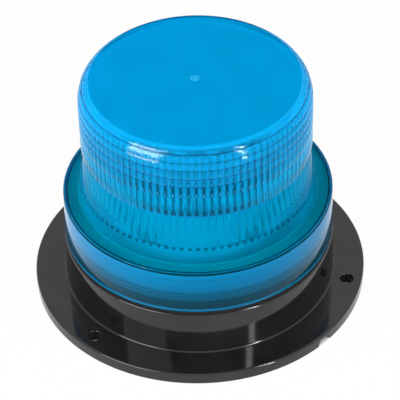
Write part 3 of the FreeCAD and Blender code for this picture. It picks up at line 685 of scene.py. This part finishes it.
def board_finish(name, lacquer, track):
    made = new_finish(name, lacquer, Specular_IOR_Level=0.4)
    nodes, links = made.node_tree.nodes, made.node_tree.links
    shader = nodes["Principled BSDF"]
    where, tracks = nodes.new("ShaderNodeTexCoord"), nodes.new("ShaderNodeTexBrick")
    weave, rough = nodes.new("ShaderNodeTexChecker"), nodes.new("ShaderNodeMapRange")
    bump = nodes.new("ShaderNodeBump")
    tracks.inputs["Color1"].default_value = tracks.inputs["Color2"].default_value = (*lacquer, 1)
    tracks.inputs["Mortar"].default_value = (*track, 1)
    for socket, value in TRACKS.items():
        tracks.inputs[socket].default_value = value
    weave.inputs["Scale"].default_value = WEAVE_SCALE
    rough.inputs["To Min"].default_value, rough.inputs["To Max"].default_value = WEAVE_GLOSS
    bump.inputs["Strength"].default_value = TRACK_RELIEF
    bump.inputs["Distance"].default_value = TRACK_HIGH * MM
    links.new(where.outputs["Object"], tracks.inputs["Vector"])
    links.new(where.outputs["Object"], weave.inputs["Vector"])
    links.new(tracks.outputs["Color"], shader.inputs["Base Color"])
    links.new(weave.outputs["Fac"], rough.inputs["Value"])
    links.new(rough.outputs["Result"], shader.inputs["Roughness"])
    links.new(tracks.outputs["Fac"], bump.inputs["Height"])
    links.new(bump.outputs["Normal"], shader.inputs["Normal"])
    return made


def numbered(name, count):
    return ["%s_%d" % (name, i) for i in range(1, count + 1)]


TOWER_SIDES = 6
green_board = board_finish("green_board", (0.02, 0.16, 0.07), (0.06, 0.30, 0.12))
lamp_board = board_finish("lamp_board", (0.8, 0.8, 0.78), (0.88, 0.88, 0.86))
pad_grey = mottled("pad_grey", (0.36, 0.37, 0.39), (0.48, 0.49, 0.51), 700, (0.7, 0.85), 0.3)
lamp_resin = mottled("lamp_resin", (0.62, 0.6, 0.4), (0.78, 0.77, 0.6), 900, (0.1, 0.2), 0.03,
                     Coat_Weight=0.5)
paint(green_board, "driver_board")
paint(lamp_board, *numbered("led_board", TOWER_SIDES))
paint(pad_grey, *numbered("thermal_pad", TOWER_SIDES))
paint(lamp_resin, *numbered("led_group", TOWER_SIDES))

# %% [markdown]
# Screws, posts, fuse clips and the heat sink are plated or drawn metal. A long thin noise gives the
# streaks of turning and drawing, and the plating varies between two near shades.

# %% Metal parts
TURNED, DRAWN, WOUND = (1, 1, 0.05), (1, 1, 0.04), (0.15, 0.15, 1)
zinc = mottled("zinc", (0.5, 0.5, 0.5), (0.66, 0.66, 0.65), 500, (0.25, 0.4), Metallic=1.0)
brass = mottled("brass", (0.6, 0.43, 0.17), (0.78, 0.6, 0.28), 400, (0.2, 0.35), 0.1, TURNED, Metallic=1.0)
tin = mottled("tin", (0.62, 0.62, 0.6), (0.78, 0.78, 0.76), 300, (0.15, 0.3), 0.05, Metallic=1.0)
drawn_alu = mottled("drawn_alu", (0.52, 0.52, 0.54), (0.7, 0.7, 0.72), 350, (0.3, 0.45), 0.1, DRAWN,
                    Metallic=1.0)
copper = mottled("copper_winding", (0.36, 0.14, 0.05), (0.62, 0.3, 0.13), 650, (0.2, 0.35), 0.3, WOUND,
                 Metallic=0.9)
paint(zinc, "board_screws", "terminal_screws", "post_screws", "plate_screws", "tower_screws", "panel_screws")
paint(brass, *numbered("plate_post", 3))
paint(tin, "fuse_clips")
paint(drawn_alu, "transistor_heat_sink")
paint(copper, "choke_coil")

# %% [markdown]
# The small parts on the driver board keep the colours they have in any workshop drawer: black epoxy cases,
# a dark sleeve on the capacitors, an orange dipped suppressor, a green terminal block, a glass fuse, an
# ivory connector, and a red and a black lead. At the end a list shows whether any solid was forgotten.

# %% Parts on the driver board
SATIN = (0.35, 0.5)
epoxy = mottled("epoxy", (0.012, 0.012, 0.013), (0.03, 0.03, 0.032), 1200, (0.5, 0.65), 0.25)
sleeve = mottled("sleeve", (0.012, 0.014, 0.03), (0.025, 0.027, 0.05), 350, (0.2, 0.35), 0.08)
dipped = mottled("dipped_coat", (0.55, 0.18, 0.02), (0.75, 0.3, 0.05), 300, (0.25, 0.4), 0.3,
                 Coat_Weight=0.3)
terminal_green = mottled("terminal_green", (0.05, 0.24, 0.1), (0.09, 0.34, 0.15), 500, SATIN)
nylon = mottled("nylon", (0.7, 0.67, 0.58), (0.82, 0.8, 0.72), 500, SATIN, Subsurface_Weight=0.1)
red_pvc = mottled("red_pvc", (0.4, 0.012, 0.012), (0.58, 0.025, 0.02), 600, SATIN)
black_pvc = mottled("black_pvc", (0.01, 0.01, 0.01), (0.025, 0.025, 0.025), 600, SATIN)
fuse_glass = mottled("fuse_glass", (0.74, 0.78, 0.78), (0.86, 0.9, 0.9), 250, (0.04, 0.1), 0.03,
                     Transmission_Weight=0.6)
paint(epoxy, "transistor_1", "transistor_2", "control_chip", "polarity_diode")
paint(sleeve, "capacitor_1", "capacitor_2")
paint(dipped, "surge_suppressor")
paint(terminal_green, "terminal_block")
paint(nylon, "lead_connector")
paint(red_pvc, "red_lead")
paint(black_pvc, "black_lead")
paint(fuse_glass, "input_fuse")
print("left over", [name for name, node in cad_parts.items() if not node.data.materials])

# %% [markdown]
# The lens is one plastic with several surfaces. The top is frosted so that the lamps behind it blend, the
# rings are hazy, the belt and the ring above it are clear, and the foot and the shoulder look deeper in
# colour because light runs sideways through them. Glass in Blender tints light once at every face, so
# each zone of the outside has its own colour and the inner faces stay nearly clear. A thin coat gives the
# white glints, and a low refraction below it keeps the steep sides from turning pale.

# %% Finishes of the lens
HAZE_SCALE, HAZE_SHADE, HAZE_GLOSS, HAZE_RELIEF = 120, 0.94, (0.9, 1.1), 0.01
LENS_TINT = (0.1, 0.6, 1.0, 1)
# Each zone has its colour, how clear it is, its roughness, its refraction and its coat.
LENS_ZONES = {
    "inside": ((0.0, 0.95, 1.0), 1.0, 0.2, 1.45, 0.0),
    "inside_low": ((0.0, 0.95, 1.0), 1.0, 0.4, 1.2, 0.0),
    "inside_clear": ((0.0, 0.95, 1.0), 1.0, 0.04, 1.45, 0.0),
    "top": ((0.0, 0.32, 0.655), 0.85, 0.5, 1.04, 0.0),
    "gate": ((0.05, 0.47, 0.85), 0.5, 0.4, 1.1, 0.0),
    "edge": ((0.0, 0.49, 0.98), 0.85, 0.05, 1.1, 0.0432),
    "rings": ((0.0, 0.35, 0.74), 0.85, 0.05, 1.11, 0.0324),
    "ring_1": ((0.0, 0.36, 0.74), 0.94, 0.04, 1.13, 0.018),
    "belt": ((0.0, 0.42, 0.78), 0.92, 0.05, 1.13, 0.0108),
    "foot": ((0.0, 0.30, 0.53), 0.68, 0.05, 1.06, 0.0036),
    # The beads are painted darker than the foot around them, a painted shade for the dark dots they show.
    "beads": ((0.0, 0.10, 0.18), 0.5, 0.05, 1.06, 0.0036),
    "rim": ((0.0, 0.36, 0.66), 0.6, 0.05, 1.1, 0.054),
    # The rim lines are painted nearly black, a painted shade for the dark lines along the edges of the rim's
    # lip.
    "rim_shade_line": ((0.0, 0.03, 0.05), 0.4, 0.05, 1.1, 0.0144),
    "shoulder": ((0.0, 0.32, 0.46), 0.5, 0.1, 1.05, 0.0018),
    "band": ((0.0, 0.42, 0.90), 0.55, 0.05, 1.25, 0.0),
}


def lens_finish(name, color, clear, rough, ior, coat):
    shade = tuple(v * HAZE_SHADE for v in color)
    gloss = tuple(v * rough for v in HAZE_GLOSS)
    made = mottled(name, shade, color, HAZE_SCALE, gloss, HAZE_RELIEF, Transmission_Weight=clear, IOR=ior,
                   Coat_Weight=coat, Coat_IOR=2.0, Coat_Roughness=0.03)
    made.node_tree.nodes["Principled BSDF"].inputs["Specular Tint"].default_value = LENS_TINT
    return made


finishes = {name: lens_finish("lens_" + name, *numbers) for name, numbers in LENS_ZONES.items()}
print("lens finishes", len(finishes))

# %% [markdown]
# Each face of the lens is given to a zone by its place. A face belongs to the inside if it lies within a
# margin of the bore, and the rest follows the heights and radii at which the cross-section changes.

# %% Zones of the lens
CLEAR_LOW, CLEAR_HIGH = 61.5, RING_TOPS[1]
RIM_EDGE, RIM_INNER = 65.7, 64.25
TOP_LOW, BAND_HIGH = LENS_TOP - 0.8, SHOULDER - 0.9
GATE_ZONE, BEAD_SHARE, FACING_UP = 2.4, 0.8, 0.8
ROOF_NEAR, BAND_INNER, BORE_INNER, EDGE_INNER = 0.05, 0.4, 0.8, 1.0
ZONE_LOWS = (("edge", RING_TOPS[3]), ("rings", RING_TOPS[1]), ("ring_1", RING_TOPS[0]),
             ("belt", OPTIC - 0.1), ("foot", SHOULDER + RIM_HIGH))
# The outer edge and the inner slope of the rim's lip get the painted shade of the rim lines.
RIM_ZONES = (("rim_shade_line", RIM_EDGE), ("rim", RIM_INNER), ("rim_shade_line", RIM_LINE))


def is_inner(c):
    r = around(c)
    if c.z <= BORE_TOP + ROOF_NEAR:
        return r < BAND_BORE + BAND_INNER
    if c.z <= EDGE_START:
        return r < bore_radius(c.z) + BORE_INNER
    if r <= DRUM - EDGE:
        return c.z < LENS_TOP - WALL / 2
    return math.hypot(r - (DRUM - EDGE), c.z - EDGE_START) < EDGE - EDGE_INNER


def on_bead(c):
    turn = math.atan2(c.y, c.x) % (2 * bead_turn) - bead_turn
    return math.hypot(around(c) * turn, c.z - BEAD_Z) < BEAD_ROUND * BEAD_SHARE


def zone(c, n):
    """The zone of a face with its middle at c and its normal n."""
    if is_inner(c):
        if c.z <= CLEAR_LOW:
            return "inside_low"
        return "inside_clear" if c.z < CLEAR_HIGH else "inside"
    if c.z > TOP_LOW and n.z > FACING_UP:
        return "gate" if around(c) < GATE_ZONE else "top"
    for name, low in ZONE_LOWS:
        if c.z > low:
            return "beads" if name == "foot" and on_bead(c) else name
    if c.z <= BAND_HIGH:
        return "band"
    for name, inner in RIM_ZONES:
        if around(c) > inner:
            return name
    return "shoulder"


for index, (name, made) in enumerate(finishes.items()):
    lens_shell.data.materials.append(made)
    found = pick(lens_shell, lambda c, n: zone(c, n) == name, "FACE")
    lens_shell.active_material_index = index
    bpy.ops.object.material_slot_assign()
    leave_edit_mode()
    print(made.name, "faces", found)

# %% [markdown]
# In the grooves between two rings the plastic looks darker. The grooves are too fine to catch that by
# themselves, so the finishes of the rings get painted shade: a thin dark line at each ring's top, as a ramp
# over the height that returns to the zone's own colour on both sides.

# %% Painted shade between the rings
LINES_LOW, LINES_HIGH, LINE_HALF = 92.0, 120.0, 0.5
LINE_SHADE = (0.0, 0.01, 0.1)
for name in ("edge", "rings", "ring_1"):
    color = LENS_ZONES[name][0]
    groove_shade_stops = []
    for z in RING_TOPS[:-1]:
        for step, shade in ((-LINE_HALF, color), (0, LINE_SHADE), (LINE_HALF, color)):
            groove_shade_stops.append(((z + step - LINES_LOW) / (LINES_HIGH - LINES_LOW), shade))
    shade_along(finishes[name], LINES_LOW, LINES_HIGH, groove_shade_stops)
print("stops of the ring lines", len(groove_shade_stops))

# %% [markdown]
# The band stands close round the black neck, and its colour holds painted shade: it darkens towards its
# foot, and the two threads behind it show as thin dark lines. At the very foot a painted highlight makes the
# bare edge of the plastic bright again. All this is one more ramp over the height.

# %% Painted shade on the band, darker towards its foot
BAND_LIGHT_AND_SHADE_STOPS = (
    (0.0, (0.0, 0.26, 0.5)), (0.07, (0.0, 0.2, 0.4)), (0.1, (0.0, 0.045, 0.075)),
    (0.26, (0.0, 0.07, 0.13)), (0.28, (0.0, 0.035, 0.06)), (0.3, (0.0, 0.11, 0.21)),
    (0.49, (0.0, 0.15, 0.3)), (0.505, (0.0, 0.07, 0.15)), (0.52, (0.0, 0.21, 0.45)),
    (0.82, (0.0, 0.28, 0.6)), (0.835, (0.0, 0.15, 0.36)), (0.85, (0.0, 0.3, 0.64)))
shade_along(finishes["band"], LENS_FOOT, SHOULDER, BAND_LIGHT_AND_SHADE_STOPS)
print("stops of the band", len(BAND_LIGHT_AND_SHADE_STOPS))

# %% [markdown]
# The camera looks down on the beacon by about forty degrees from a metre away. Its numbers were found by
# fitting the ellipses of the flange and of the lens rim. It is set up by its own three axes instead of
# angles, because a small roll about the line of sight is then one more turn of two of them.

# %% Camera
VIEW_TURN, EYE_UP, ROLL = math.radians(-1.07), 0.71052, -0.02764
EYE_FAR, LOOK = 1050 * MM, Vector((0.873, 0, 44.549)) * MM
FOCAL_PIXELS, FRAME_PIXELS, SENSOR = 2131.02, 400, 36
forward = Vector((0, math.cos(EYE_UP), -math.sin(EYE_UP)))
right = Vector((1, 0, 0))
up = Vector((0, math.sin(EYE_UP), math.cos(EYE_UP)))
eye_x = right * math.cos(ROLL) + up * math.sin(ROLL)
eye_y = up * math.cos(ROLL) - right * math.sin(ROLL)
swing = Matrix.Rotation(VIEW_TURN, 3, "Z")
facing = swing @ Matrix((eye_x, eye_y, -forward)).transposed()
bpy.ops.object.camera_add(location=swing @ (LOOK - forward * EYE_FAR), rotation=facing.to_euler())
camera = bpy.context.active_object
camera.data.sensor_width = SENSOR
camera.data.lens = FOCAL_PIXELS / FRAME_PIXELS * SENSOR
camera.data.clip_start = 0.05
bpy.context.scene.camera = camera
print("camera at", [round(v, 3) for v in camera.location])

# %% [markdown]
# The beacon stands on white paper in a white studio. The paper glows for the camera, for mirror rays and
# for rays through the lens, which keeps the background white without more light on the object. A small
# share of it stays plain paper. Under the flange it doesn't glow, so the bolt holes look down into the
# dark as real ones do.

# %% Floor
PAPER_SIZE, PAPER_WHITE, PAPER_GLOW, GLOW_FADE = 6, 0.9, 0.95, 1


def seen_directly(nodes, links):
    """One for rays from the camera, mirrors and clear plastic, and zero for the soft light of the room."""
    path = nodes.new("ShaderNodeLightPath")
    first, both = nodes.new("ShaderNodeMath"), nodes.new("ShaderNodeMath")
    first.operation = both.operation = "MAXIMUM"
    links.new(path.outputs["Is Camera Ray"], first.inputs[0])
    links.new(path.outputs["Is Glossy Ray"], first.inputs[1])
    links.new(first.outputs[0], both.inputs[0])
    links.new(path.outputs["Is Transmission Ray"], both.inputs[1])
    return both.outputs[0]


leave_edit_mode()
bpy.ops.object.select_all(action="DESELECT")
bpy.ops.mesh.primitive_plane_add(size=PAPER_SIZE, location=(0, 0, 0))
floor = bpy.context.active_object
floor.name = "floor"
paper = new_finish("white_paper", (PAPER_WHITE,) * 3, Roughness=0.9, Specular_IOR_Level=0.0)
nodes, links = paper.node_tree.nodes, paper.node_tree.links
where, out = nodes.new("ShaderNodeTexCoord"), nodes.new("ShaderNodeVectorMath")
out.operation = "LENGTH"
beyond, share = nodes.new("ShaderNodeMapRange"), nodes.new("ShaderNodeMath")
beyond.inputs["From Min"].default_value = (FLANGE - GLOW_FADE) * MM
beyond.inputs["From Max"].default_value = FLANGE * MM
beyond.inputs["To Max"].default_value = PAPER_GLOW
share.operation = "MULTIPLY"
glow, mixed = nodes.new("ShaderNodeEmission"), nodes.new("ShaderNodeMixShader")
links.new(where.outputs["Object"], out.inputs[0])
links.new(out.outputs["Value"], beyond.inputs["Value"])
links.new(seen_directly(nodes, links), share.inputs[0])
links.new(beyond.outputs["Result"], share.inputs[1])
links.new(share.outputs[0], mixed.inputs[0])
links.new(nodes["Principled BSDF"].outputs[0], mixed.inputs[1])
links.new(glow.outputs[0], mixed.inputs[2])
links.new(mixed.outputs[0], nodes["Material Output"].inputs["Surface"])
floor.data.materials.append(paper)
print("paper with glow beyond", FLANGE, "mm")

# %% [markdown]
# The room itself is the world's background. It is white where it is seen or mirrored, and weaker as a
# light, so that the lamps still give the beacon a lit side.

# %% Surround
ROOM_LIGHT = 0.4
world = bpy.data.worlds.new("studio")
bpy.context.scene.world = world
world.use_nodes = True
nodes, links = world.node_tree.nodes, world.node_tree.links
level = nodes.new("ShaderNodeMapRange")
level.inputs["To Min"].default_value = ROOM_LIGHT
links.new(seen_directly(nodes, links), level.inputs["Value"])
links.new(level.outputs["Result"], nodes["Background"].inputs["Strength"])
nodes["Background"].inputs["Color"].default_value = (1, 1, 1, 1)
print("room light", ROOM_LIGHT)

# %% [markdown]
# Two lamps shape the light on all pieces: a tall soft box at the left and a narrow lamp at the right, both
# mirrored by the collar and the flange. They are placed by the angle at which their images are seen. Two
# bright cards stand just in front of them and are linked to the lens alone, for the white patches on its
# rounded edge. Two low fills from the sides, also for the lens alone, brighten the ends of the band and
# stay out of its reflections.

# %% Lamps
LEFT, RIGHT, FILL_SIDE = -49, 40, 85
AIM = Vector((0, 0, 70)) * MM


def lamp(name, azimuth, elevation, far, wide, tall, radiance):
    """An area lamp that looks at the beacon, with the brightness of its face given."""
    a, e = math.radians(azimuth), math.radians(elevation)
    way = Vector((math.sin(a) * math.cos(e), -math.cos(a) * math.cos(e), math.sin(e)))
    facing = way.to_track_quat("Z", "Y").to_euler()
    bpy.ops.object.light_add(type="AREA", location=AIM + way * far, rotation=facing)
    light = bpy.context.active_object
    light.name = name
    light.data.shape = "RECTANGLE"
    light.data.size, light.data.size_y = wide, tall
    light.data.energy = radiance * math.pi * wide * tall
    print(name, "power", round(light.data.energy, 2))
    return light


lamp("left_softbox", LEFT, elevation=26, far=1.2, wide=0.66, tall=1.1, radiance=5.5)
lamp("right_lamp", RIGHT, elevation=26, far=1.2, wide=0.08, tall=1.1, radiance=40)
lens_only = bpy.data.collections.new("lens_only")
lens_only.objects.link(lens_shell)
for name, side, wide in (("left_card", LEFT, 0.6), ("right_card", RIGHT, 0.1)):
    card = lamp(name, side, elevation=20, far=1.1, wide=wide, tall=0.85, radiance=55)
    card.visible_diffuse = card.visible_transmission = False
    card.light_linking.receiver_collection = lens_only
for name, side, radiance in (("left_fill", -FILL_SIDE, 40), ("right_fill", FILL_SIDE, 16)):
    fill = lamp(name, side, elevation=3, far=1.2, wide=0.8, tall=0.15, radiance=radiance)
    fill.visible_glossy = fill.visible_transmission = False
    fill.light_linking.receiver_collection = lens_only
bpy.context.scene.view_settings.view_transform = "Standard"
